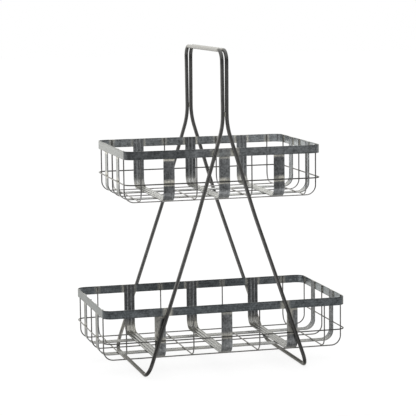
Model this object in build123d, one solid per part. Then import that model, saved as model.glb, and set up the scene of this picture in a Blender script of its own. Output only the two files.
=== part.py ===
"""Two-tier wire produce basket: two rod loops carry two open baskets.

Axes: +X along the baskets' long side, +Y to the back, +Z up.
Origin: on the ground, under the middle of the basket. All sizes are in millimetres.

Each rod loop is one closed loop: it runs along the handle, down the front leg, back along
the ground and up the back leg. The two loops lie side by side in the handle and part below
it, so that the legs make an A at the front and at the back. The legs pass outside both
baskets and are welded to their rims.

Each basket is a flat rim, a wire ring, and U-shaped wires and straps in two layers. The
lengthwise layer lies underneath, and the cross layer is welded on top of it.
"""

import os
from dataclasses import dataclass
from math import atan2, degrees, sqrt, tan

from build123d import *

# ---- stock ----------------------------------------------------------------------------
ROD_DIAMETER = 6.5
WIRE_DIAMETER = 2.2
STRAP_WIDTH = 19.0
STRAP_THICKNESS = 1.6
RIM_HEIGHT = 14.3
RIM_THICKNESS = 1.5

# ---- strap flutes, on the face that looks into the basket --------------------------------
FLUTE_COUNT = 3
FLUTE_WIDTH = 5.6
FLUTE_DEPTH = 0.7
FLUTE_LAND = 0.7

# ---- baskets ---------------------------------------------------------------------------
UPPER_LENGTH = 342.6
UPPER_DEPTH = 232.0
UPPER_RIM_TOP = 384.3
UPPER_END_MARGIN = 26.9
UPPER_SIDE_MARGIN = 24.2

LOWER_LENGTH = 426.6
LOWER_DEPTH = 242.0
LOWER_RIM_TOP = 119.5
LOWER_END_MARGIN = 38.4
LOWER_SIDE_MARGIN = 21.0

BASKET_HEIGHT = 87.0
RIM_CORNER_RADIUS = 16.0
RIM_EDGE_RADIUS = 0.4
FLOOR_BEND_RADIUS = 18.0
RING_RISE = 30.5
END_DROP = 0.3

# Along each basket a thin wire and a strap take turns, with a wire at both ends.
CROSS_COUNT = 7
LENGTHWISE_COUNT = 5

# ---- rod loops -------------------------------------------------------------------------
OVERALL_HEIGHT = 551.2
HANDLE_CORNER_RADIUS = 19.0
HANDLE_GAP = 1.8
KNEE_HEIGHT = 422.3
KNEE_GAP = 0.3
KNEE_RADIUS = 130.0
WAIST_HEIGHT = 268.0
WAIST_SPREAD = 101.0
WAIST_RADIUS = 900.0
FOOT_SPREAD = 281.6
FOOT_RADIUS = 24.0

# ---- welds -----------------------------------------------------------------------------
RIM_BEAD_DIAMETER = 3.0
RIM_BEAD_LENGTH = 10.0
RIM_BEAD_STAND = 1.0  # the bead's centre line, out from the rim's outer face
HANDLE_BEAD_DIAMETER = 3.6
HANDLE_BEAD_LENGTH = 8.0

# Room between pieces that are welded together, and between a leg and the rim it leans on.
SEAT = 0.05
LEG_SEAT = 0.1


@dataclass(frozen=True)
class Basket:
    """Sizes of one basket."""

    name: str
    length: float
    depth: float
    rim_top: float
    end_margin: float
    side_margin: float

    @property
    def crossing(self):
        """Height of the plane where the two layers of the floor meet."""
        return self.rim_top - BASKET_HEIGHT

    @property
    def ring_height(self):
        """Height of the ring's centre line."""
        return self.crossing + RING_RISE


UPPER = Basket(
    name="upper",
    length=UPPER_LENGTH,
    depth=UPPER_DEPTH,
    rim_top=UPPER_RIM_TOP,
    end_margin=UPPER_END_MARGIN,
    side_margin=UPPER_SIDE_MARGIN,
)
LOWER = Basket(
    name="lower",
    length=LOWER_LENGTH,
    depth=LOWER_DEPTH,
    rim_top=LOWER_RIM_TOP,
    end_margin=LOWER_END_MARGIN,
    side_margin=LOWER_SIDE_MARGIN,
)


# ---- baskets ---------------------------------------------------------------------------
def swept(section, path):
    """Sweep a section, drawn about the origin, along a path from the path's start."""
    start = Plane(origin=path @ 0, x_dir=(-1, 0, 0), z_dir=path % 0)
    return sweep(start * section, path=path)


def strap_section():
    """Section of a strap: outer face along local X, flutes on the face at its thickness."""
    half = STRAP_WIDTH / 2
    pitch = FLUTE_WIDTH + FLUTE_LAND
    first = -(FLUTE_COUNT * pitch - FLUTE_LAND) / 2
    edges = [
        Line((half, STRAP_THICKNESS), (half, 0)),
        Line((half, 0), (-half, 0)),
        Line((-half, 0), (-half, STRAP_THICKNESS)),
    ]
    land_start = -half
    for flute in range(FLUTE_COUNT):
        left = first + flute * pitch
        right = left + FLUTE_WIDTH
        edges.append(Line((land_start, STRAP_THICKNESS), (left, STRAP_THICKNESS)))
        middle = (left + FLUTE_WIDTH / 2, STRAP_THICKNESS - FLUTE_DEPTH)
        edges.append(ThreePointArc((left, STRAP_THICKNESS), middle, (right, STRAP_THICKNESS)))
        land_start = right
    edges.append(Line((land_start, STRAP_THICKNESS), (half, STRAP_THICKNESS)))
    return make_face(edges)


def u_path(half_span, top, floor, bend):
    """A U in the YZ plane: down at the front, along the floor, up at the back."""
    corners = [
        (0, -half_span, top),
        (0, -half_span, floor),
        (0, half_span, floor),
        (0, half_span, top),
    ]
    return FilletPolyline(*corners, radius=bend)


def wire_u(width, top, underside):
    """A U of round wire that fits inside a width, with its floor resting at a height."""
    radius = WIRE_DIAMETER / 2
    path = u_path(width / 2 - radius, top, underside + radius, FLOOR_BEND_RADIUS - radius)
    return swept(Circle(radius), path)


def strap_u(width, top, underside):
    """A U of flat strap that fits inside a width, with its floor resting at a height."""
    return swept(strap_section(), u_path(width / 2, top, underside, FLOOR_BEND_RADIUS))


def positions(count, span):
    """Evenly spaced places about the middle, from one end of a span to the other."""
    return [span * (place / (count - 1) - 0.5) for place in range(count)]


def rim(basket):
    """Flat band around the top of a basket, with its long edges eased."""
    outer = RectangleRounded(basket.length, basket.depth, RIM_CORNER_RADIUS)
    inner = offset(outer, -RIM_THICKNESS)
    band = extrude(outer - inner, RIM_HEIGHT)
    level_edges = band.edges().group_by(Axis.Z)[0] + band.edges().group_by(Axis.Z)[-1]
    return Pos(0, 0, basket.rim_top - RIM_HEIGHT) * fillet(level_edges, RIM_EDGE_RADIUS)


def ring(basket):
    """Wire ring around a basket, outside every upright wire and strap."""
    wall = RIM_THICKNESS - SEAT - WIRE_DIAMETER / 2
    outline = RectangleRounded(
        basket.length - 2 * wall, basket.depth - 2 * wall, RIM_CORNER_RADIUS - wall
    )
    path = Pos(0, 0, basket.ring_height) * outline.wire()
    section = Plane(origin=path @ 0, z_dir=path % 0) * Circle(WIRE_DIAMETER / 2)
    return sweep(section, path=path)


def layer(basket, turned):
    """The U-shaped pieces of one layer of a basket, by node name.

    The cross layer lies in YZ planes on the crossing plane. The lengthwise layer is turned
    a quarter, and lies under the crossing plane.
    """
    along, across = (basket.depth, basket.length) if turned else (basket.length, basket.depth)
    margin = basket.side_margin if turned else basket.end_margin
    count = LENGTHWISE_COUNT if turned else CROSS_COUNT
    kind = "lengthwise" if turned else "cross"
    width = across - 2 * (RIM_THICKNESS + SEAT)
    top = basket.rim_top - END_DROP
    pieces = {}
    for place, shift in enumerate(positions(count, along - 2 * margin)):
        is_strap = place % 2 == 1
        make, thickness = (strap_u, STRAP_THICKNESS) if is_strap else (wire_u, WIRE_DIAMETER)
        underside = basket.crossing - SEAT - thickness if turned else basket.crossing
        piece = Pos(shift, 0, 0) * make(width, top, underside)
        if turned:
            piece = Rot(0, 0, 90) * piece
        stock = "strap" if is_strap else "wire"
        pieces[f"{basket.name}_{kind}_{stock}_{place // 2 + 1}"] = piece
    return pieces


# ---- rod loops -------------------------------------------------------------------------
def leg_offset(height):
    """Distance of a leg's centre line from the middle plane: it leans on both rims."""
    reach = ROD_DIAMETER / 2 + LEG_SEAT
    at_upper = UPPER.depth / 2 + reach
    at_lower = LOWER.depth / 2 + reach
    share = (height - LOWER.rim_top) / (UPPER.rim_top - LOWER.rim_top)
    return at_lower + (at_upper - at_lower) * share


HANDLE_OFFSET = leg_offset(KNEE_HEIGHT)
HANDLE_X = (ROD_DIAMETER + HANDLE_GAP) / 2
KNEE_X = (ROD_DIAMETER + KNEE_GAP) / 2


def leg_x(height):
    """Distance of a leg's centre line from the middle, between its knee and its foot."""
    foot = (FOOT_SPREAD / 2, ROD_DIAMETER / 2)
    waist = (WAIST_SPREAD / 2, WAIST_HEIGHT)
    knee = (KNEE_X, KNEE_HEIGHT)
    low, high = (foot, waist) if height < WAIST_HEIGHT else (waist, knee)
    return low[0] + (high[0] - low[0]) * (height - low[1]) / (high[1] - low[1])


def rod_loop(side):
    """One closed rod loop: side is -1 at the left and 1 at the right."""
    top = OVERALL_HEIGHT - ROD_DIAMETER / 2
    ground = ROD_DIAMETER / 2
    front = [
        (side * HANDLE_X, -HANDLE_OFFSET, top),
        (side * KNEE_X, -HANDLE_OFFSET, KNEE_HEIGHT),
        (side * WAIST_SPREAD / 2, -leg_offset(WAIST_HEIGHT), WAIST_HEIGHT),
        (side * FOOT_SPREAD / 2, -leg_offset(ground), ground),
    ]
    back = [(x, -y, z) for x, y, z in reversed(front)]
    radii = [HANDLE_CORNER_RADIUS, KNEE_RADIUS, WAIST_RADIUS, FOOT_RADIUS]
    path = FilletPolyline(*front, *back, radius=radii + radii[::-1], close=True)
    section = Plane(origin=path @ 0, z_dir=path % 0) * Circle(ROD_DIAMETER / 2)
    return sweep(section, path=path)


# ---- welds -----------------------------------------------------------------------------
def bead(diameter, length):
    """Weld bead with round ends, upright about the origin."""
    core = Cylinder(diameter / 2, length - diameter)
    ends = [Pos(0, 0, end * (length - diameter) / 2) * Sphere(diameter / 2) for end in (-1, 1)]
    return core + ends


def handle_beads():
    """Beads in the groove between the two rods where they part, on the inner side of the handle."""
    half_turn = atan2(leg_x(WAIST_HEIGHT) - KNEE_X, KNEE_HEIGHT - WAIST_HEIGHT) / 2
    height = KNEE_HEIGHT + KNEE_RADIUS * tan(half_turn)
    reach = (ROD_DIAMETER + HANDLE_BEAD_DIAMETER) / 2 + SEAT
    stand = HANDLE_OFFSET - sqrt(reach**2 - KNEE_X**2)
    shape = bead(HANDLE_BEAD_DIAMETER, HANDLE_BEAD_LENGTH)
    return [Pos(0, face * stand, height) * shape for face in (-1, 1)]


def rim_beads(basket, basket_rim, loops):
    """Beads on both flanks of each leg, where it crosses a basket's rim."""
    height = basket.rim_top - RIM_HEIGHT / 2
    run = leg_x(height - RIM_HEIGHT) - leg_x(height + RIM_HEIGHT)
    tilt = degrees(atan2(run, 2 * RIM_HEIGHT))
    shape = bead(RIM_BEAD_DIAMETER, RIM_BEAD_LENGTH)
    stand = basket.depth / 2 + RIM_BEAD_STAND
    beads = []
    for side in (-1, 1):
        for face in (-1, 1):
            for flank in (-1, 1):
                x = side * leg_x(height) + flank * ROD_DIAMETER / 2
                placed = Pos(x, face * stand, height) * Rot(0, -side * tilt, 0) * shape
                beads.append(placed - loops - basket_rim)
    return beads


# ---- assembly --------------------------------------------------------------------------
def build():
    """Every node of the basket, by name."""
    nodes = {"left_rod_loop": rod_loop(-1), "right_rod_loop": rod_loop(1)}
    loops = list(nodes.values())
    nodes["handle_welds"] = Compound(handle_beads())
    for basket in (UPPER, LOWER):
        basket_rim = rim(basket)
        nodes[f"{basket.name}_rim"] = basket_rim
        nodes[f"{basket.name}_ring"] = ring(basket)
        nodes.update(layer(basket, turned=False))
        nodes.update(layer(basket, turned=True))
        nodes[f"{basket.name}_rim_welds"] = Compound(rim_beads(basket, basket_rim, loops))
    return nodes


def main():
    """Write one STEP file per node."""
    os.makedirs("parts", exist_ok=True)
    for name, shape in build().items():
        export_step(shape, f"parts/{name}.step")
        print(f"{name:28s} {len(shape.solids())} solids  {shape.volume:10.1f} mm3")


main()
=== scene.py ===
"""Looks of the wire produce basket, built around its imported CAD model.

Lengths are in metres, in the CAD model's frame: +X along the baskets, +Y to the back, +Z up.
The CAD model gives every rod, wire, strap and rim. This script gives them their finishes, adds
the weld metal that holds them together, and sets up the studio.
"""

import logging
import math
import random
from collections.abc import Callable, Iterable, Mapping, Sequence
from dataclasses import dataclass
from enum import Enum
from functools import partial, reduce

import bpy
from mathutils import Matrix, Vector


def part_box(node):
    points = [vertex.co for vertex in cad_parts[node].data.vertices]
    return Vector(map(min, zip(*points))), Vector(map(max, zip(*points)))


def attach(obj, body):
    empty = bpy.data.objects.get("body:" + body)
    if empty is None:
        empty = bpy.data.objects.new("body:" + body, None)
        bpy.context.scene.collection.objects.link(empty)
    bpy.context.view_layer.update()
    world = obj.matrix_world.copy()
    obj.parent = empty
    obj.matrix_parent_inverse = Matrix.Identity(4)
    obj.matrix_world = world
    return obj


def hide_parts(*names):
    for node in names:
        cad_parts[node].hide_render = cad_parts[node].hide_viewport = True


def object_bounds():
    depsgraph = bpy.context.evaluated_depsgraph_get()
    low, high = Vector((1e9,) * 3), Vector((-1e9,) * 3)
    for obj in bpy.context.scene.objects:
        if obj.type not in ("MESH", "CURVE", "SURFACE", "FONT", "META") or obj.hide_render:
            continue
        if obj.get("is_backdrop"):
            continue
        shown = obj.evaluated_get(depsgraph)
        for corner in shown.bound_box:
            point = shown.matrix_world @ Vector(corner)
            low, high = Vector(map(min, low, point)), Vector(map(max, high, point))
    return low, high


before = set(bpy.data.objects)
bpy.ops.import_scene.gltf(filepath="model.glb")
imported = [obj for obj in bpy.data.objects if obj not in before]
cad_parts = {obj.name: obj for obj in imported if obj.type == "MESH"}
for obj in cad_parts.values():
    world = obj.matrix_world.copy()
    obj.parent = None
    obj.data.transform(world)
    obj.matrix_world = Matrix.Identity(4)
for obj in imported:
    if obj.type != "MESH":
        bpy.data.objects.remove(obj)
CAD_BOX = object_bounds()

LOG = logging.getLogger("produce_basket")
BODY = "root"
BLACK = (0.0, 0.0, 0.0)
WHITE = (1.0, 1.0, 1.0, 1.0)
EDGE_TINT = (0.98, 0.97, 0.92, 1.0)
ROD_RADIUS = 0.00325
SAME_PLACE = 1e-6

Colour = tuple[float, float, float]
# The value at which a soft step is 1, and the value at which it is 0.
Span = tuple[float, float]


# ---- shader arithmetic -------------------------------------------------------------------
class Shade:
    """A shader output that takes part in Python arithmetic."""

    def __init__(self, graph: "Graph", socket: bpy.types.NodeSocket) -> None:
        """Wrap one output socket of a graph's nodes."""
        self.graph = graph
        self.socket = socket

    def _math(self, operation: str, *values: "Shade | float") -> "Shade":
        """A Math node over the given values."""
        return self.graph.node("ShaderNodeMath", {"operation": operation}, dict(enumerate(values)))

    def __add__(self, other: "Shade | float") -> "Shade":
        """Sum."""
        return self._math("ADD", self, other)

    def __radd__(self, other: float) -> "Shade":
        """Sum, reflected."""
        return self._math("ADD", other, self)

    def __sub__(self, other: "Shade | float") -> "Shade":
        """Difference."""
        return self._math("SUBTRACT", self, other)

    def __rsub__(self, other: float) -> "Shade":
        """Difference, reflected."""
        return self._math("SUBTRACT", other, self)

    def __mul__(self, other: "Shade | float") -> "Shade":
        """Product."""
        return self._math("MULTIPLY", self, other)

    def __rmul__(self, other: float) -> "Shade":
        """Product, reflected."""
        return self._math("MULTIPLY", other, self)

    def __truediv__(self, other: "Shade | float") -> "Shade":
        """Quotient."""
        return self._math("DIVIDE", self, other)

    def __abs__(self) -> "Shade":
        """Absolute value."""
        return self._math("ABSOLUTE", self)

    def root(self) -> "Shade":
        """Square root."""
        return self._math("SQRT", self)

    def over(self, other: "Shade | float") -> "Shade":
        """The larger of two values."""
        return self._math("MAXIMUM", self, other)

    def below(self, limit: "Shade | float") -> "Shade":
        """1 where the value is under a limit, else 0."""
        return self._math("LESS_THAN", self, limit)

    def above(self, limit: "Shade | float") -> "Shade":
        """0 where the value is under a limit, else 1."""
        return 1.0 - self.below(limit)

    def fade(self, near: float, far: float) -> "Shade":
        """A soft step.

        Args:
            near: Value at which the result is 1.
            far: Value at which the result is 0.

        Returns:
            A value from 0 to 1.
        """
        settings = {"interpolation_type": "SMOOTHSTEP", "clamp": True}
        values = {"Value": self, "From Min": near, "From Max": far, "To Min": 1.0, "To Max": 0.0}
        return self.graph.node("ShaderNodeMapRange", settings, values)

    def to_nearest(self, start: float, pitch: float) -> "Shade":
        """Distance from a coordinate to the nearest of evenly spaced places."""
        return self._math("PINGPONG", self - start, pitch / 2)


def most(shades: Iterable[Shade]) -> Shade:
    """The largest of several values."""
    return reduce(Shade.over, shades)


class Graph:
    """The nodes of a material or of the world."""

    def __init__(self, owner: bpy.types.Material | bpy.types.World, coordinates: str) -> None:
        """Start an empty graph.

        Args:
            owner: What the nodes belong to.
            coordinates: The kind of coordinates that patterns follow.
        """
        owner.use_nodes = True
        self.tree = owner.node_tree
        self.tree.nodes.clear()
        self.place = self.node("ShaderNodeTexCoord", output=coordinates)
        apart = self.node("ShaderNodeSeparateXYZ", {}, {0: self.place}).socket.node
        self.axes = [Shade(self, output) for output in apart.outputs]
        self.x, self.y, self.z = self.axes

    def node(
        self,
        kind: str,
        settings: Mapping[str, object] | None = None,
        values: Mapping[int | str, object] | None = None,
        output: int | str = 0,
    ) -> Shade:
        """Add one node.

        Args:
            kind: Node type.
            settings: Node properties, set before any socket.
            values: Input sockets by name or number, each a plain value or a Shade.
            output: The output socket that is returned.

        Returns:
            The chosen output of the node.
        """
        made = self.tree.nodes.new(kind)
        for name, value in (settings or {}).items():
            setattr(made, name, value)
        for name, value in (values or {}).items():
            if isinstance(value, Shade):
                self.tree.links.new(value.socket, made.inputs[name])
            else:
                made.inputs[name].default_value = value
        return Shade(self, made.outputs[output])

    def rays(self, *kinds: str) -> list[Shade]:
        """For each of the named kinds of rays, a value that is 1 for it and 0 for others."""
        outputs = self.node("ShaderNodeLightPath").socket.node.outputs
        return [Shade(self, outputs[f"Is {kind} Ray"]) for kind in kinds]

    def end(self, kind: str, shader: Shade) -> None:
        """Send a shader to the graph's output node."""
        made = self.tree.nodes.new(kind)
        self.tree.links.new(shader.socket, made.inputs["Surface"])


class Surface(Graph):
    """One material, and the nodes that make it."""

    def __init__(self, name: str) -> None:
        """Start an empty material on object coordinates."""
        self.material = bpy.data.materials.new(name)
        super().__init__(self.material, "Object")

    def noise(self, size: float, stretch: Sequence[float] = (1, 1, 1), detail: float = 4.0) -> Shade:
        """Noise about 0.5, in the object's own space.

        Args:
            size: Length of one feature.
            stretch: How much longer features are along each axis.
            detail: Number of finer layers.

        Returns:
            A value from 0 to 1.
        """
        scale = [1 / factor for factor in stretch]
        place = self.node("ShaderNodeMapping", {}, {"Vector": self.place, "Scale": scale})
        values = {"Vector": place, "Scale": 1 / size, "Detail": detail, "Roughness": 0.6}
        return self.node("ShaderNodeTexNoise", {}, values, output="Fac")

    def depth_in(self, sides: Sequence[tuple[Shade, float]], radius: float) -> Shade:
        """How deep a place is behind the faces of a box with rounded corners.

        Args:
            sides: Coordinate along each axis, measured from the box's middle, and half its size.
            radius: Radius of the corners.

        Returns:
            Distance in from the nearest face.
        """
        squares = [(away - (half - radius)).over(0.0) for away, half in sides]
        reach = squares[0] * squares[0]
        for square in squares[1:]:
            reach = reach + square * square
        return radius - reach.root()

    def blend(self, share: Shade, low: Shade | Colour, high: Shade | Colour) -> Shade:
        """A colour between two others.

        Args:
            share: How much of the second colour shows, from 0 to 1.
            low: The first colour.
            high: The second colour.

        Returns:
            The blended colour.
        """
        ends = [end if isinstance(end, Shade) else (*end, 1.0) for end in (low, high)]
        values = {"Factor": share, 6: ends[0], 7: ends[1]}
        return self.node("ShaderNodeMix", {"data_type": "RGBA"}, values, output=2)

    def finish(self, colour: Shade, roughness: Shade, relief: Shade, metallic: Shade | float) -> None:
        """Join the surface's values to a metal shader.

        Args:
            colour: Base colour.
            roughness: Roughness.
            relief: Height, in metres.
            metallic: How metallic the surface is.
        """
        bump = self.node("ShaderNodeBump", {}, {"Height": relief, "Strength": 1.0, "Distance": 1.0})
        values = {
            "Base Color": colour,
            "Roughness": roughness,
            "Normal": bump,
            "Metallic": metallic,
            "Specular Tint": EDGE_TINT,
        }
        self.end("ShaderNodeOutputMaterial", self.node("ShaderNodeBsdfPrincipled", {}, values))


# ---- finishes ----------------------------------------------------------------------------
class Run(Enum):
    """Direction that a drawn or rolled piece's streaks follow, as stretch along X, Y and Z."""

    ALONG_YZ = (0.12, 3.0, 3.0)
    ALONG_XZ = (3.0, 0.12, 3.0)
    LEVEL = (3.0, 3.0, 0.12)
    UPRIGHT = (0.12, 0.12, 3.0)


@dataclass(frozen=True)
class AgedSteel:
    """Dull grey steel with a mottled skin, faint streaks, pale marks where it was welded, and painted
    light and shade, partly in the pale colour.

    Mottle, streak and grain are shares of the tone, and speckle and patch are shares of a pale
    mark's strength. Each span is the part of a noise's range that turns from light to dark.
    """

    name: str
    run: Run
    tone: Colour
    brightest: float = 2.0
    roughness: float = 0.33
    metallic: float = 0.95
    mottle: float = 0.35
    mottle_size: float = 0.009
    mottle_span: Span = (0.68, 0.32)
    mottle_roughness: float = 0.07
    mottle_height: float = 0.00003
    streak: float = 0.45
    streak_height: float = 0.00002
    grain: float = 0.55
    grain_size: float = 0.0032
    grain_span: Span = (0.66, 0.34)
    grain_roughness: float = 0.05
    grain_height: float = 0.00002
    pale: Colour = (0.82, 0.79, 0.69)
    pale_dullness: float = 0.9
    speckle: float = 0.55
    speckle_size: float = 0.0026
    speckle_stretch: tuple[float, float, float] = (0.6, 0.6, 2.0)
    speckle_span: Span = (0.62, 0.36)
    patch: float = 0.5
    patch_size: float = 0.04
    patch_span: Span = (0.58, 0.42)

    def material(
        self,
        marks: Callable[[Surface], Shade] | None = None,
        painted_shading: Callable[[Surface], Shade] | None = None,
    ) -> bpy.types.Material:
        """Make the material.

        Args:
            marks: Gives how much of the pale colour shows, from 0 to 1: weld marks, and painted light.
            painted_shading: Gives a factor for the tone, about 1, that paints light and shade.

        Returns:
            The material.
        """
        skin = Surface(self.name)
        mottle = skin.noise(self.mottle_size, detail=5.0).fade(*self.mottle_span)
        streak = skin.noise(self.mottle_size, self.run.value, detail=3.0).fade(*self.mottle_span)
        grain = skin.noise(self.grain_size, detail=2.0).fade(*self.grain_span)
        level = 1.0 + self.mottle * (mottle - 0.5) + self.streak * (streak - 0.5)
        level = level + self.grain * (grain - 0.5)
        # Painted light and shade: a factor that lightens and darkens the tone.
        if painted_shading is not None:
            level = level * painted_shading(skin)
        light = tuple(channel * self.brightest for channel in self.tone)
        colour = skin.blend(level / self.brightest, BLACK, light)
        metallic = self.metallic
        # The pale colour paints weld marks, and painted light on lit places.
        if marks is not None:
            speckle = skin.noise(self.speckle_size, self.speckle_stretch, detail=4.0)
            patch = skin.noise(self.patch_size, detail=1.0)
            amount = marks(skin) * (1.0 - self.speckle + self.speckle * speckle.fade(*self.speckle_span))
            amount = amount * (1.0 - self.patch + self.patch * patch.fade(*self.patch_span))
            colour = skin.blend(amount, colour, self.pale)
            metallic = self.metallic * (1.0 - self.pale_dullness * amount)
        roughness = self.roughness + self.mottle_roughness * (mottle - 0.5)
        roughness = roughness + self.grain_roughness * (grain - 0.5)
        relief = self.mottle_height * mottle + self.streak_height * streak
        relief = relief + self.grain_height * grain
        skin.finish(colour, roughness, relief, metallic)
        return skin.material


@dataclass(frozen=True)
class WeldMetal:
    """Pale, lumpy weld metal."""

    name: str = "weld_metal"
    low: Colour = (0.26, 0.26, 0.23)
    high: Colour = (0.52, 0.51, 0.45)
    roughness: float = 0.42
    metallic: float = 0.35
    lump_size: float = 0.0018
    lump_span: Span = (0.65, 0.35)
    lump_height: float = 0.00012
    grain_size: float = 0.0004
    grain_roughness: float = 0.2
    grain_height: float = 0.00002

    def material(self) -> bpy.types.Material:
        """Make the material.

        Returns:
            The material.
        """
        skin = Surface(self.name)
        lumps = skin.noise(self.lump_size, detail=5.0)
        grain = skin.noise(self.grain_size, detail=2.0)
        colour = skin.blend(lumps.fade(*self.lump_span), self.high, self.low)
        roughness = self.roughness + self.grain_roughness * (grain - 0.5)
        relief = self.lump_height * lumps + self.grain_height * grain
        skin.finish(colour, roughness, relief, self.metallic)
        return skin.material


@dataclass(frozen=True)
class Finishes:
    """Materials that more than one sub-assembly shares."""

    weld: bpy.types.Material


# ---- mesh work ---------------------------------------------------------------------------
def deselect_all() -> None:
    """Leave nothing selected."""
    bpy.ops.object.select_all(action="DESELECT")


def make_active(piece: bpy.types.Object) -> None:
    """Select one object only, and make it active.

    Args:
        piece: The object.
    """
    deselect_all()
    piece.select_set(True)
    bpy.context.view_layer.objects.active = piece


def copies(pattern: bpy.types.Object, places: Iterable[Matrix], name: str) -> bpy.types.Object:
    """Copy a pattern to many places, and join the copies.

    Args:
        pattern: The finished pattern, at the origin. It is deleted.
        places: Where each copy goes.
        name: Name of the joined piece.

    Returns:
        One object at the origin, with the copies in its mesh.
    """
    made = []
    for place in places:
        copy = pattern.copy()
        copy.data = pattern.data.copy()
        copy.data.transform(place)
        bpy.context.scene.collection.objects.link(copy)
        made.append(copy)
    bpy.data.objects.remove(pattern)
    deselect_all()
    for copy in made:
        copy.select_set(True)
    bpy.context.view_layer.objects.active = made[0]
    bpy.ops.object.join()
    joined = bpy.context.view_layer.objects.active
    joined.name = name
    joined.data.name = name
    return joined


def dress(piece: bpy.types.Object, material: bpy.types.Material) -> None:
    """Give an object one material in place of what it has."""
    piece.data.materials.clear()
    piece.data.materials.append(material)


def finish_weld(piece: bpy.types.Object, finishes: Finishes) -> None:
    """Give a piece of weld metal its finish, its body and its slot, and report it.

    Args:
        piece: The weld metal.
        finishes: Materials of the whole object.
    """
    dress(piece, finishes.weld)
    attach(piece, BODY)
    LOG.info("%s: %d faces", piece.name, len(piece.data.polygons))


def select_upright_edges(piece: bpy.types.Object) -> None:
    """Select the edges that run along Z, and stay in edit mode.

    Args:
        piece: The object, in object mode.
    """
    make_active(piece)
    bpy.ops.object.mode_set(mode="EDIT")
    bpy.ops.mesh.select_mode(type="EDGE")
    bpy.ops.mesh.select_all(action="DESELECT")
    bpy.ops.object.mode_set(mode="OBJECT")
    for edge in piece.data.edges:
        start, end = (piece.data.vertices[corner].co for corner in edge.vertices)
        edge.select = (start - end).xy.length < SAME_PLACE
    bpy.ops.object.mode_set(mode="EDIT")


def select_by_place(piece: bpy.types.Object, test: Callable[[Vector], bool]) -> None:
    """Select the vertices whose place passes a test, and stay in edit mode.

    Args:
        piece: The object, in either mode.
        test: Says whether a place is to be selected.
    """
    bpy.ops.object.mode_set(mode="OBJECT")
    make_active(piece)
    bpy.ops.object.mode_set(mode="EDIT")
    bpy.ops.mesh.select_mode(type="VERT")
    bpy.ops.mesh.select_all(action="DESELECT")
    bpy.ops.object.mode_set(mode="OBJECT")
    for vertex in piece.data.vertices:
        vertex.select = test(vertex.co)
    bpy.ops.object.mode_set(mode="EDIT")


@dataclass(frozen=True)
class WeldBead:
    """A short run of weld metal with ripples and round ends, along Z."""

    length: float
    radius: float
    flatness: float = 0.7
    ripples: int = 5
    sides: int = 8
    ripple_depth: float = 0.16
    end_girth: float = 0.25

    def build(self) -> bpy.types.Object:
        """Model the bead, lying along Z about the origin.

        Returns:
            The finished bead.
        """
        deselect_all()
        bpy.ops.mesh.primitive_cylinder_add(
            vertices=self.sides, radius=self.radius, depth=self.length, end_fill_type="TRIFAN"
        )
        bead = bpy.context.active_object
        half = self.length / 2
        select_upright_edges(bead)
        bpy.ops.mesh.subdivide(number_cuts=2 * self.ripples - 1)
        for loop in range(2 * self.ripples + 1):
            z = loop * half / self.ripples - half
            girth = self._girth(loop, z / half)
            select_by_place(bead, lambda place: abs(place.z - z) < half / self.ripples / 4)
            bpy.ops.transform.resize(
                value=(girth, girth * self.flatness, 1.0), center_override=(0.0, 0.0, z)
            )
        bpy.ops.object.mode_set(mode="OBJECT")
        smooth = bead.modifiers.new("smooth", "SUBSURF")
        smooth.levels = smooth.render_levels = 1
        make_active(bead)
        bpy.ops.object.modifier_apply(modifier=smooth.name)
        bpy.ops.object.shade_smooth()
        return bead

    def _girth(self, loop: int, along: float) -> float:
        """Width of one loop as a share of the bead's: ripples, and round ends at along = -1 and 1."""
        girth = math.sqrt(max(0.0, 1 - along**4)) * (1 - self.end_girth) + self.end_girth
        return girth * (1 - self.ripple_depth * (loop % 2))


# ---- baskets -----------------------------------------------------------------------------
class Layer(Enum):
    """A layer of uprights: its word in the nodes' names, the axis it is spaced along, its streaks."""

    CROSS = ("cross", 0, Run.ALONG_YZ)
    LENGTHWISE = ("lengthwise", 1, Run.ALONG_XZ)

    def __init__(self, word: str, axis: int, run: Run) -> None:
        """Name what the layer holds."""
        self.word, self.axis, self.run = word, axis, run


class Stock(Enum):
    """What an upright is made of: its word in the nodes' names, and half its width."""

    WIRE = ("wire", 0.0011)
    STRAP = ("strap", 0.0095)

    def __init__(self, word: str, half: float) -> None:
        """Name what the stock holds."""
        self.word, self.half = word, half


@dataclass(frozen=True)
class UprightEnd:
    """Where a wire or strap meets the rim.

    The spot is the middle of its outer face at the rim's middle height, out is the direction out
    of the basket, and half is half its width.
    """

    spot: Vector
    out: Vector
    half: float
    stock: Stock

    @property
    def along(self) -> Vector:
        """Level direction along the rim."""
        return self.out.cross((0, 0, 1))

    @property
    def lying(self) -> Matrix:
        """The turn that lays a bead along the rim."""
        return self.along.to_track_quat("Z", "Y").to_matrix().to_4x4()


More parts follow.
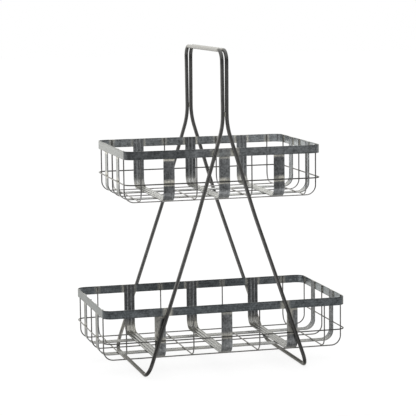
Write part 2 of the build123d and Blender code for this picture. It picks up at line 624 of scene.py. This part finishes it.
@dataclass
class Basket:
    """One basket: its rim, ring, wires and straps, and the welds between them.

    The fields come in groups: colours, the stock's shape, the painted light and shade of the rim, of the
    ring, of the wires and of the straps, pale marks, and welds. A tone is a factor on a piece's colour
    that paints light and shade into it. A rise or light is added to that factor, and a dark is taken off
    it. The pale marks are weld marks, and painted light on the first and last cross straps, where the
    straps lie on the floor and at their back bends.
    """

    name: str
    leg_slope: float
    rim_colour: Colour
    strap_colour: Colour
    wire_colour: Colour
    ring_colour: Colour
    rim_grain: float = 0.4
    rim_brightest: float = 3.5
    wire_grain: float = 0.3

    rim_thickness: float = 0.0015
    corner_radius: float = 0.016
    strap_thickness: float = 0.0016
    strap_reach: float = 0.0099
    bend_radius: float = 0.018
    ridge: float = 0.00315
    ridge_width: float = 0.0012

    # Rim tones: painted shade along the edges and at the front corners, and painted light and shade on
    # the inner face.
    edge_dark: float = 0.4
    edge_inset: Span = (0.0002, 0.0022)
    inner_tone: float = 1.0
    inner_end_tone: float = 1.0
    inner_rise: float = 0.0
    inner_rise_start: float = 0.03
    right_rise: float = 0.0
    outer_rise: float = 0.0
    outer_rise_span: Span = (-0.055, -0.075)
    corner_dark: float = 0.5
    corner_end_inset: float = 0.003
    corner_front_inset: float = 0.008

    # Painted shade along the ring's long sides.
    ring_dark: float = 0.45
    ring_dark_inset: float = 0.002

    # Painted light where the wires lie on the floor.
    wire_floor_tone: float = 1.0
    wire_floor_span: Span = (0.004, 0.012)

    # Strap tones: lighter edges, painted highlights on the ridges, painted shade on the fluted face and
    # low on the outer face, and painted light and shade on the end, back and middle straps and across
    # the outer face.
    strap_edge_light: float = 0.4
    strap_edge_span: Span = (0.0094, 0.0082)
    flute_dark: float = 0.2
    ridge_light: float = 1.3
    low_dark: float = 0.45
    low_dark_span: Span = (0.008, 0.016)
    end_tone: float = 1.15
    back_tone: float = 1.0
    back_sides_rise: float = 0.0
    back_span: Span = (0.02, 0.008)
    lean: float = 0.35
    middle_rise: float = 0.0

    rim_marks: float = 1.0
    rim_mark_span: Span = (0.0024, 0.006)
    leg_marks: float = 0.7
    leg_mark_span: Span = (0.0045, 0.0115)
    between_legs: float = 0.0
    strap_marks: float = 1.0
    under_rim_span: Span = (0.002, 0.0055)
    over_ring_span: Span = (0.003, 0.0095)
    under_ring_span: Span = (0.002, 0.005)
    # Painted light on the straps: pale patches on the first and last cross straps, and where they lie on
    # the floor and bend up at the back.
    painted_light_patch: float = 0.0
    painted_light_span: Span = (-0.002, 0.003)
    end_floor_painted_light: float = 0.35
    floor_painted_light: float = 0.08
    floor_span: Span = (0.003, 0.008)
    bend_painted_light: float = 0.55
    bend_span: Span = (0.009, 0.024)

    tack: WeldBead = WeldBead(length=0.008, radius=0.0009, ripples=3, sides=6)
    tack_gap: float = 0.0003
    run: WeldBead = WeldBead(length=0.0165, radius=0.0011, ripples=7)
    run_drop: float = 0.0005
    run_gap: float = 0.0004
    run_stand: float = 0.0001
    spot: WeldBead = WeldBead(length=0.0042, radius=0.0012, ripples=1, sides=6)
    sink: float = 0.0002
    leg_bead: WeldBead = WeldBead(length=0.0100, radius=0.0015, flatness=1.0, ripples=5)
    leg_bead_stand: float = 0.001

    def __post_init__(self) -> None:
        """Read the basket's places from the CAD model."""
        self.rim_low, self.rim_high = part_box(f"{self.name}_rim")
        ring_low, ring_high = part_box(f"{self.name}_ring")
        self.ring_z = (ring_low.z + ring_high.z) / 2
        self.floor_z = min(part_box(node)[0].z for node in self.nodes("cross_strap"))
        self.ring_radius = (ring_high.z - ring_low.z) / 2
        self.rim_z = (self.rim_low.z + self.rim_high.z) / 2
        self.rim_height = self.rim_high.z - self.rim_low.z
        corners = [vertex.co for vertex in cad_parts[f"{self.name}_rim_welds"].data.vertices]
        right = [corner.x for corner in corners if corner.x > 0 and corner.y > 0]
        self.leg_x = (min(right) + max(right)) / 2

    def nodes(self, word: str) -> dict[str, bpy.types.Object]:
        """This basket's CAD nodes whose names hold a word.

        Args:
            word: Part of the names.

        Returns:
            The objects by name, in the order of their names.
        """
        return {
            node: piece
            for node, piece in sorted(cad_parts.items())
            if node.startswith(self.name) and word in node
        }

    def places(self, layer: Layer, stock: Stock) -> list[float]:
        """Middles of a layer's wires or straps, along the axis that they are spaced along."""
        spans = [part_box(node) for node in self.nodes(f"{layer.word}_{stock.word}")]
        return sorted((low[layer.axis] + high[layer.axis]) / 2 for low, high in spans)

    def dress(self) -> None:
        """Give each CAD node of the basket its finish."""
        rim = AgedSteel(
            f"{self.name}_rim_steel",
            Run.LEVEL,
            self.rim_colour,
            grain=self.rim_grain,
            brightest=self.rim_brightest,
        )
        dress(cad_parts[f"{self.name}_rim"], rim.material(self._rim_marks, self._rim_painted_shading))
        ring = AgedSteel(f"{self.name}_ring_steel", Run.LEVEL, self.ring_colour, grain=self.wire_grain)
        dress(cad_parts[f"{self.name}_ring"], ring.material(painted_shading=self._ring_painted_shade))
        wire = AgedSteel(f"{self.name}_wire_steel", Run.UPRIGHT, self.wire_colour, grain=self.wire_grain)
        wire_skin = wire.material(painted_shading=self._wire_painted_light)
        for piece in self.nodes("_wire_").values():
            dress(piece, wire_skin)
        for layer in Layer:
            steel = AgedSteel(f"{self.name}_{layer.word}_strap_steel", layer.run, self.strap_colour)
            marks, painted_shading = partial(self._strap_welds_and_painted_light, layer=layer), partial(self._strap_painted_shading, layer=layer)
            skin = steel.material(marks, painted_shading)
            for piece in self.nodes(f"{layer.word}_strap").values():
                dress(piece, skin)

    def _over_floor(self, skin: Surface, span: Span) -> Shade:
        """A soft step whose span is in heights over the basket's floor."""
        return skin.z.fade(self.floor_z + span[0], self.floor_z + span[1])

    def _rim_inside(self, skin: Surface) -> Shade:
        """1 on the rim's inner face."""
        sides = ((abs(skin.x), self.rim_high.x), (abs(skin.y), self.rim_high.y))
        return skin.depth_in(sides, self.corner_radius).above(self.rim_thickness / 2)

    def _rim_painted_shading(self, skin: Surface) -> Shade:
        """Painted shade along the rim's edges and at its front corners, painted light and shade on its
        inner face, and a lighter outer face away from its left end.

        Args:
            skin: The rim's surface.

        Returns:
            A factor for the tone.
        """
        half = self.rim_height / 2
        # Painted shade along the top and bottom edges.
        edge = abs(skin.z - self.rim_z).fade(half - self.edge_inset[0], half - self.edge_inset[1])
        # Painted light and shade on the inner face.
        at_end = abs(skin.x).above(self.rim_high.x - self.corner_radius / 2)
        outward = abs(skin.x).fade(self.rim_high.x, self.inner_rise_start)
        rise = self.inner_rise + self.right_rise * skin.x.above(0.0)
        inner_tone = self.inner_tone * (1.0 + rise * outward)
        inner_tone = inner_tone + (self.inner_end_tone - inner_tone) * at_end
        outer_tone = 1.0 + self.outer_rise * skin.x.fade(*self.outer_rise_span)
        # Painted shade at the front corners.
        end, side = self.rim_high.x, self.rim_high.y
        corner = abs(skin.x).fade(end - self.corner_end_inset, end - self.corner_radius)
        front = skin.y.fade(self.corner_front_inset - side, self.corner_radius - side)
        outer_tone = outer_tone * (1.0 - self.corner_dark * corner * front)
        inside = self._rim_inside(skin)
        return (1.0 - self.edge_dark * edge) * (outer_tone + (inner_tone - outer_tone) * inside)

    def _ring_painted_shade(self, skin: Surface) -> Shade:
        """Painted shade: darker along the ring's long sides."""
        full, none = self.rim_high.y - self.ring_dark_inset, self.rim_high.y - self.corner_radius
        return 1.0 - self.ring_dark * abs(skin.y).fade(full, none)

    def _wire_painted_light(self, skin: Surface) -> Shade:
        """Painted light: another tone where the wires lie on the basket's floor."""
        return 1.0 + (self.wire_floor_tone - 1.0) * self._over_floor(skin, self.wire_floor_span)

    def _strap_inside(self, skin: Surface, layer: Layer) -> Shade:
        """1 on the fluted face of a strap, which looks into the basket.

        Args:
            skin: The straps' surface.
            layer: The straps' layer.

        Returns:
            1 on the fluted face, else 0.
        """
        low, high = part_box(next(iter(self.nodes(f"{layer.word}_strap"))))
        across = 1 - layer.axis
        down = low.z + self.bend_radius - skin.z
        sides = ((abs(skin.axes[across]), high[across]), (down, self.bend_radius))
        return skin.depth_in(sides, self.bend_radius).above(self.strap_thickness / 2)

    def _strap_painted_shading(self, skin: Surface, layer: Layer) -> Shade:
        """Lighter edges, painted highlights on the ridges, painted shade on the fluted face and low
        down, and painted light and shade on the end, back and middle straps.

        Args:
            skin: The straps' surface.
            layer: The straps' layer.

        Returns:
            A factor for the tone.
        """
        places = self.places(layer, Stock.STRAP)
        pitch = places[1] - places[0]
        near = skin.axes[layer.axis].to_nearest(places[0], pitch)
        inside = self._strap_inside(skin, layer)
        ridge = abs(near - self.ridge).fade(self.ridge_width / 4, self.ridge_width)
        level = 1.0 + self.strap_edge_light * near.fade(*self.strap_edge_span)
        # Painted shade on the fluted face, and painted highlights on its ridges.
        level = level * (1.0 - self.flute_dark * inside + self.ridge_light * ridge * inside)
        # Painted shade low down on the outer face.
        low_down = self._over_floor(skin, self.low_dark_span)
        level = level * (1.0 - self.low_dark * (1.0 - inside) * low_down)
        # Painted light and shade on the end, back and middle straps, and across the outer face.
        if layer is Layer.LENGTHWISE:
            return level * (1.0 + (self.end_tone - 1.0) * inside * skin.x.above(0.0))
        back = inside * skin.y.above(0.0) * self._over_floor(skin, self.back_span)
        sides = abs(skin.x).above(pitch / 2)
        level = level * (1.0 + (self.back_tone - 1.0 + self.back_sides_rise * sides) * back)
        return level * (1.0 + self._outer_light(skin, places) * (1.0 - inside))

    def _outer_light(self, skin: Surface, places: Sequence[float]) -> Shade:
        """Painted light on a cross strap's outer face: across its width, and on the middle strap.

        Args:
            skin: The cross straps' surface.
            places: Middles of the cross straps.

        Returns:
            What is added to the tone's factor.
        """
        half = Stock.STRAP.half
        away = [skin.x - place for place in places]
        on_strap = [abs(distance).below(self.strap_reach) for distance in away]
        lean = most(distance.fade(half, -half) * here for distance, here in zip(away, on_strap))
        middle = self.middle_rise * on_strap[len(places) // 2]
        return middle + self.lean * (lean - 0.5)

    def _rim_marks(self, skin: Surface) -> Shade:
        """Pale marks on the rim's inner face beside each upright, and outside about the legs.

        Args:
            skin: The rim's surface.

        Returns:
            How much of the pale colour shows, from 0 to 1.
        """
        inside = self._rim_inside(skin)
        full, none = self.rim_mark_span
        marks = []
        for layer in Layer:
            across = 1 - layer.axis
            straight = abs(skin.axes[across]).above(self.rim_high[across] - 2 * self.rim_thickness)
            for stock in Stock:
                places = self.places(layer, stock)
                near = skin.axes[layer.axis].to_nearest(places[0], places[1] - places[0])
                marks.append(near.fade(stock.half + full, stock.half + none) * straight * inside)
        gap = abs(abs(skin.x) - self.leg_x)
        beside_legs = self.leg_marks * gap.fade(*self.leg_mark_span)
        between_legs = self.between_legs * abs(skin.x).below(self.leg_x)
        outside = beside_legs.over(between_legs) * (1.0 - inside)
        return (self.rim_marks * most(marks)).over(outside)

    def _strap_welds_and_painted_light(self, skin: Surface, layer: Layer) -> Shade:
        """Pale marks on a strap: weld marks outside under the rim and about the ring, and painted light
        on the first and last cross straps, inside on the floor and at the back bends.

        Args:
            skin: The straps' surface.
            layer: The straps' layer.

        Returns:
            How much of the pale colour shows, from 0 to 1.
        """
        across = 1 - layer.axis
        face = self.rim_high[across] - self.rim_thickness - self.strap_thickness / 2
        outer = abs(skin.axes[across]).above(face)
        upper_part = skin.z.above(self.ring_z)
        under_rim = abs(skin.z - self.rim_low.z).fade(*self.under_rim_span)
        over_ring = (skin.z - self.ring_z).fade(*self.over_ring_span) * upper_part
        under_ring = (self.ring_z - skin.z).fade(*self.under_ring_span) * skin.z.below(self.ring_z)
        amount = self.strap_marks * most((under_rim, over_ring, under_ring))
        # Painted light where the straps lie on the floor.
        on_floor = self._over_floor(skin, self.floor_span)
        if layer is Layer.LENGTHWISE:
            return (amount * outer).over(self.end_floor_painted_light * on_floor)
        # Painted light on the first and last cross straps.
        first, *_, last = self.places(layer, Stock.STRAP)
        for away in (skin.x - first, skin.x - last):
            patch = away.fade(*self.painted_light_span) * abs(away).below(self.strap_reach)
            amount = amount.over(self.painted_light_patch * patch * upper_part)
        # Painted light at the back bends.
        back, radius = self.rim_high.y, self.bend_radius
        bend = self._over_floor(skin, self.bend_span) * skin.y.fade(back - radius, back - 2 * radius)
        floor = (self.floor_painted_light * on_floor).over(self.bend_painted_light * bend)
        return (amount * outer).over(floor * self._strap_inside(skin, layer))

    def welds(self, finishes: Finishes) -> None:
        """Add the weld metal between the basket's pieces, and beside the legs.

        Args:
            finishes: Materials of the whole object.
        """
        ends = list(self._upright_ends())
        tacks = copies(self.tack.build(), self._rim_tacks(ends), f"{self.name}_rim_tacks")
        runs = copies(self.run.build(), self._strap_runs(ends), f"{self.name}_strap_weld_runs")
        spots = copies(self.spot.build(), self._spot_places(ends), f"{self.name}_spot_welds")
        legs = copies(self.leg_bead.build(), self._leg_beads(), f"{self.name}_leg_weld_beads")
        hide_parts(f"{self.name}_rim_welds")
        for piece in (tacks, runs, spots, legs):
            finish_weld(piece, finishes)

    def _upright_ends(self) -> Iterable[UprightEnd]:
        """Both ends of each wire and strap of the basket.

        Yields:
            One end at a time.
        """
        for layer in Layer:
            across = 1 - layer.axis
            for node in self.nodes(f"_{layer.word}_"):
                low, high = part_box(node)
                half = (high[layer.axis] - low[layer.axis]) / 2
                stock = Stock.STRAP if "_strap_" in node else Stock.WIRE
                for face, side in ((low, -1), (high, 1)):
                    spot = (low + high) / 2
                    spot[across] = face[across]
                    spot.z = self.rim_z
                    out = Vector((0, 0, 0))
                    out[across] = side
                    yield UprightEnd(spot, out, half, stock)

    def _rim_tacks(self, ends: Sequence[UprightEnd]) -> Iterable[Matrix]:
        """Places of the tacks on both flanks of each upright, inside the rim.

        Args:
            ends: The uprights' ends.

        Yields:
            One tack's place at a time.
        """
        for end in ends:
            for flank in (-1, 1):
                aside = flank * (end.half + self.tack_gap) * end.along
                yield Matrix.Translation(end.spot + aside - self.sink * end.out)

    def _strap_runs(self, ends: Sequence[UprightEnd]) -> Iterable[Matrix]:
        """Places of the level runs across each strap: under the rim, and over and under the ring.

        Args:
            ends: The uprights' ends.

        Yields:
            One run's place at a time.
        """
        gap = self.ring_radius + self.run_gap
        for end in (end for end in ends if end.stock is Stock.STRAP):
            for z in (self.rim_low.z - self.run_drop, self.ring_z - gap, self.ring_z + gap):
                place = Vector((end.spot.x, end.spot.y, z)) + self.run_stand * end.out
                yield Matrix.Translation(place) @ end.lying

    def _spot_places(self, ends: Sequence[UprightEnd]) -> Iterable[Matrix]:
        """Places of the spot welds: wires on the ring, and crossings of the floor.

        Args:
            ends: The uprights' ends.

        Yields:
            One spot's place at a time.
        """
        for end in (end for end in ends if end.stock is Stock.WIRE):
            place = Vector((end.spot.x, end.spot.y, self.ring_z)) - self.sink * end.out
            yield Matrix.Translation(place) @ end.lying
        cross = [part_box(node) for node in self.nodes("_cross_")]
        under = [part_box(node) for node in self.nodes("_lengthwise_")]
        lean = random.Random(self.name)
        for low, high in cross:
            for below, above in under:
                place = ((low.x + high.x) / 2, (below.y + above.y) / 2, low.z)
                turn = Matrix.Rotation(math.pi / 2, 4, "Y" if lean.random() < 0.5 else "X")
                yield Matrix.Translation(place) @ turn

    def _leg_beads(self) -> Iterable[Matrix]:
        """Places of the beads on both flanks of each leg, at the CAD beads.

        Yields:
            One bead's place at a time.
        """
        stand = self.rim_high.y + self.leg_bead_stand
        tilt = math.atan(self.leg_slope)
        for side in (-1, 1):
            turn = Matrix.Rotation(-side * tilt, 4, "Y")
            for face in (-1, 1):
                for flank in (-1, 1):
                    x = side * self.leg_x + flank * ROD_RADIUS
                    yield Matrix.Translation((x, face * stand, self.rim_z)) @ turn


# ---- rod loops ---------------------------------------------------------------------------
@dataclass
class RodLoops:
    """The two rod loops that make the handle, legs and feet.

    A tone is a factor on the rods' colour that paints their light and shade. Spans are heights over the
    ground, except for the spread, which is measured along Y from where the handle's bends end.
    """

    colour: Colour = (0.185, 0.183, 0.179)
    mottle: float = 0.15
    grain: float = 0.12
    streak: float = 0.25
    bend: float = 0.019
    # Painted shade low on the legs and at the handle's bends, and a painted highlight on top of the
    # handle.
    foot_tone: float = 0.36
    foot_span: Span = (0.06, 0.19)
    ground_tone: float = 0.42
    ground_span: Span = (0.012, 0.02)
    right_tone: float = 0.85
    right_span: Span = (0.18, 0.32)
    top_tone: float = 1.5
    top_spread: Span = (-0.004, 0.002)
    corner_tone: float = 0.6
    # Painted light low on the back legs.
    painted_light_patch: float = 0.5
    painted_light_span: Span = (0.098, 0.106)
    painted_light_foot_span: Span = (0.008, 0.02)
    painted_light_front: float = 0.03
    bead_radius: float = 0.0017
    bead_shift: float = 0.0012

    def __post_init__(self) -> None:
        """Read the loops' places from the CAD model."""
        self.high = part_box("left_rod_loop")[1]
        corners = [vertex.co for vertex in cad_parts["left_rod_loop"].data.vertices]
        top = [corner.y for corner in corners if corner.z > self.high.z - 2 * self.bend]
        self.handle_y = max(top) - ROD_RADIUS

    def dress(self) -> None:
        """Give the rods their finish."""
        steel = AgedSteel(
            "rod_steel",
            Run.UPRIGHT,
            self.colour,
            mottle=self.mottle,
            grain=self.grain,
            streak=self.streak,
        )
        skin = steel.material(self._back_leg_painted_light, self._rod_painted_shading)
        for node in ("left_rod_loop", "right_rod_loop"):
            dress(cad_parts[node], skin)

    def _rod_painted_shading(self, skin: Surface) -> Shade:
        """Painted shade down the front legs, on the ground, low on the right loop and at the handle's
        bends, and a painted highlight on top of the handle.

        Args:
            skin: The rods' surface.

        Returns:
            A factor for the tone.
        """
        on_ground = skin.z.fade(*self.ground_span)
        front = skin.y.below(0.0).over(on_ground)
        feet = 1.0 - (1.0 - self.foot_tone) * skin.z.fade(*self.foot_span) * front
        feet = feet * (1.0 - (1.0 - self.ground_tone) * on_ground)
        right = skin.x.above(0.0)
        feet = feet * (1.0 - (1.0 - self.right_tone) * right * skin.z.fade(*self.right_span))
        top = skin.z.fade(self.high.z - 2 * ROD_RADIUS, self.high.z - 3 * ROD_RADIUS)
        reach = self.handle_y - self.bend
        straight = abs(skin.y).fade(reach + self.top_spread[0], reach + self.top_spread[1])
        bends = skin.z.fade(self.high.z - self.bend, self.high.z - 2 * self.bend) * (1.0 - straight)
        handle = 1.0 + (self.top_tone - 1.0) * top * straight
        return feet * handle * (1.0 - (1.0 - self.corner_tone) * bends)

    def _back_leg_painted_light(self, skin: Surface) -> Shade:
        """Painted light: pale steel low on the back legs."""
        low_down = skin.z.fade(*self.painted_light_span) * (1.0 - skin.z.fade(*self.painted_light_foot_span))
        return self.painted_light_patch * low_down * skin.y.above(self.painted_light_front)

    def welds(self, finishes: Finishes) -> None:
        """Add the beads that join the rods below the handle, in place of the CAD beads.

        Args:
            finishes: Materials of the whole object.
        """
        low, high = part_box("handle_welds")
        middle = (low.z + high.z) / 2
        depths = (face * self.handle_y - self.bead_shift for face in (-1, 1))
        places = [Matrix.Translation((0.0, depth, middle)) for depth in depths]
        bead = WeldBead(high.z - low.z, self.bead_radius, flatness=1.0, ripples=4)
        beads = copies(bead.build(), places, "handle_weld_beads")
        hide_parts("handle_welds")
        finish_weld(beads, finishes)


# ---- studio ------------------------------------------------------------------------------
def direction(azimuth: float, elevation: float) -> Vector:
    """Unit vector away from the object: azimuth 0 is the front, in degrees."""
    turn, rise = math.radians(azimuth), math.radians(elevation)
    return Vector((math.sin(turn) * math.cos(rise), -math.cos(turn) * math.cos(rise), math.sin(rise)))


@dataclass(frozen=True)
class Softbox:
    """A square lamp that points at the middle of the object."""

    name: str
    azimuth: float
    elevation: float
    distance: float
    width: float
    radiance: float

    def build(self, aim: Vector) -> None:
        """Add the lamp.

        Args:
            aim: Where it points.
        """
        lamp = bpy.data.lights.new(self.name, "AREA")
        lamp.shape = "SQUARE"
        lamp.size = self.width
        lamp.energy = self.radiance * math.pi * self.width**2
        holder = bpy.data.objects.new(self.name, lamp)
        away = direction(self.azimuth, self.elevation)
        holder.location = aim + self.distance * away
        holder.rotation_euler = away.to_track_quat("Z", "Y").to_euler()
        holder.visible_camera = False
        bpy.context.scene.collection.objects.link(holder)


@dataclass(frozen=True)
class Studio:
    """White paper, a darker room behind the camera, soft lamps, and the camera.

    The paper has its width, its front edge and its back edge. The room fades out with the turn
    away from its direction and with the rise from level, both in degrees.
    """

    aim: Vector = Vector((0.0011, 0.0, 0.2687))
    azimuth: float = -15.1
    elevation: float = 7.53
    roll: float = -0.67
    distance: float = 3.0258
    lens: float = 149.5
    view_end: float = 100.0
    paper: tuple[float, float, float] = (16.0, -0.45, 12.0)
    paper_colour: tuple[float, float, float, float] = (0.92, 0.92, 0.92, 1.0)
    paper_glow: float = 1.1
    glow_share: float = 0.78
    fill: float = 0.8
    room_azimuth: float = 15.0
    room_turns: Span = (88.0, 125.0)
    room_rises: Span = (21.0, 42.0)
    room_level: float = 0.24
    softboxes: tuple[Softbox, ...] = (
        Softbox("left_softbox", azimuth=-82, elevation=20, distance=2.4, width=1.3, radiance=0.6),
        Softbox("back_softbox", azimuth=-175, elevation=10, distance=2.4, width=2.6, radiance=0.5),
        Softbox("top_softbox", azimuth=160, elevation=72, distance=2.2, width=1.4, radiance=0.8),
    )

    def build(self) -> None:
        """Set up the floor, the light and the camera."""
        self._floor()
        self._world()
        for softbox in self.softboxes:
            softbox.build(self.aim)
        self._camera()
        bpy.context.scene.view_settings.view_transform = "Standard"

    def _floor(self) -> None:
        """A plain pale paper floor that keeps the object's shadow. It ends in front of the object."""
        width, front, back = self.paper
        deselect_all()
        bpy.ops.mesh.primitive_plane_add(size=1.0)
        floor = bpy.context.active_object
        floor.name = "floor"
        spread = Matrix.Diagonal((width, back - front, 1.0, 1.0))
        floor.data.transform(Matrix.Translation((0.0, (front + back) / 2, 0.0)) @ spread)
        paper = Surface("floor_paper")
        matt = paper.node("ShaderNodeBsdfDiffuse", {}, {"Color": self.paper_colour})
        glow = paper.node("ShaderNodeEmission", {}, {"Color": WHITE, "Strength": self.paper_glow})
        seen = most(paper.rays("Camera", "Glossy", "Transmission"))
        shares = {0: self.glow_share * seen, 1: matt, 2: glow}
        paper.end("ShaderNodeOutputMaterial", paper.node("ShaderNodeMixShader", {}, shares))
        dress(floor, paper.material)
        floor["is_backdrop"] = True

    def _world(self) -> None:
        """White to look at. Reflections also show a darker room in front of the object."""
        world = bpy.data.worlds.new("studio")
        bpy.context.scene.world = world
        sky = Graph(world, "Generated")
        aims = {0: sky.place, 1: direction(self.room_azimuth, 0.0)}
        towards = sky.node("ShaderNodeVectorMath", {"operation": "DOT_PRODUCT"}, aims, "Value")
        near, far = (math.cos(math.radians(turn)) for turn in self.room_turns)
        low, high = (math.sin(math.radians(rise)) for rise in self.room_rises)
        dark = towards.fade(near, far) * abs(sky.z).fade(low, high)
        camera, glossy = sky.rays("Camera", "Glossy")
        reflected = 1.0 - (1.0 - self.room_level) * dark
        seen = camera + (1.0 - camera) * glossy * reflected
        rest = (1.0 - camera) * (1.0 - glossy) * self.fill
        light = sky.node("ShaderNodeBackground", {}, {"Color": WHITE, "Strength": seen + rest})
        sky.end("ShaderNodeOutputWorld", light)

    def _camera(self) -> None:
        """The camera."""
        camera = bpy.data.cameras.new("camera")
        camera.lens = self.lens
        camera.clip_end = self.view_end
        holder = bpy.data.objects.new("camera", camera)
        roll = math.radians(self.roll)
        away = direction(self.azimuth, self.elevation)
        level = (-away).cross(Vector((0, 0, 1))).normalized()
        upright = level.cross(-away)
        right = math.cos(roll) * level + math.sin(roll) * upright
        up = math.cos(roll) * upright - math.sin(roll) * level
        turned = Matrix((right, up, away)).transposed().to_4x4()
        holder.matrix_world = Matrix.Translation(self.aim + self.distance * away) @ turned
        bpy.context.scene.collection.objects.link(holder)
        bpy.context.scene.camera = holder


def main() -> None:
    """Build the looks, sub-assembly by sub-assembly."""
    logging.basicConfig(level=logging.INFO, format="%(message)s")
    finishes = Finishes(weld=WeldMetal().material())
    # Each basket's tones paint its light and shade. The lower basket's darker colours and tones are
    # painted shade under the upper basket.
    baskets = (
        Basket(
            "upper",
            leg_slope=0.307,
            rim_colour=(0.215, 0.228, 0.236),
            strap_colour=(0.262, 0.272, 0.279),
            wire_colour=(0.205, 0.201, 0.2),
            ring_colour=(0.15, 0.147, 0.145),
            inner_tone=1.75,
            inner_end_tone=1.9,
            inner_rise=0.2,
            right_rise=0.6,
            outer_rise=0.58,
            wire_floor_tone=1.8,
            ridge_light=2.0,
            end_tone=1.45,
            back_tone=1.05,
            back_sides_rise=0.5,
            middle_rise=0.3,
            rim_marks=0.8,
            between_legs=0.18,
            floor_painted_light=0.25,
        ),
        Basket(
            "lower",
            leg_slope=0.341,
            rim_colour=(0.175, 0.192, 0.202),
            strap_colour=(0.187, 0.193, 0.197),
            wire_colour=(0.165, 0.162, 0.158),
            ring_colour=(0.15, 0.147, 0.145),
            inner_tone=0.6,
            inner_end_tone=1.6,
            inner_rise=0.6,
            back_tone=0.7,
            rim_marks=0.4,
            strap_marks=0.6,
            painted_light_patch=0.6,
            end_floor_painted_light=0.22,
        ),
    )
    for basket in baskets:
        basket.dress()
        basket.welds(finishes)
    loops = RodLoops()
    loops.dress()
    loops.welds(finishes)
    Studio().build()


def write_sizes() -> None:
    """Work out the CAD box and the visual model's box as plain numbers."""
    boxes = {"cad": CAD_BOX, "visual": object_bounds()}
    plain = {name: [[float(n) for n in corner] for corner in box] for name, box in boxes.items()}


if __name__ == "__main__":
    main()
    write_sizes()
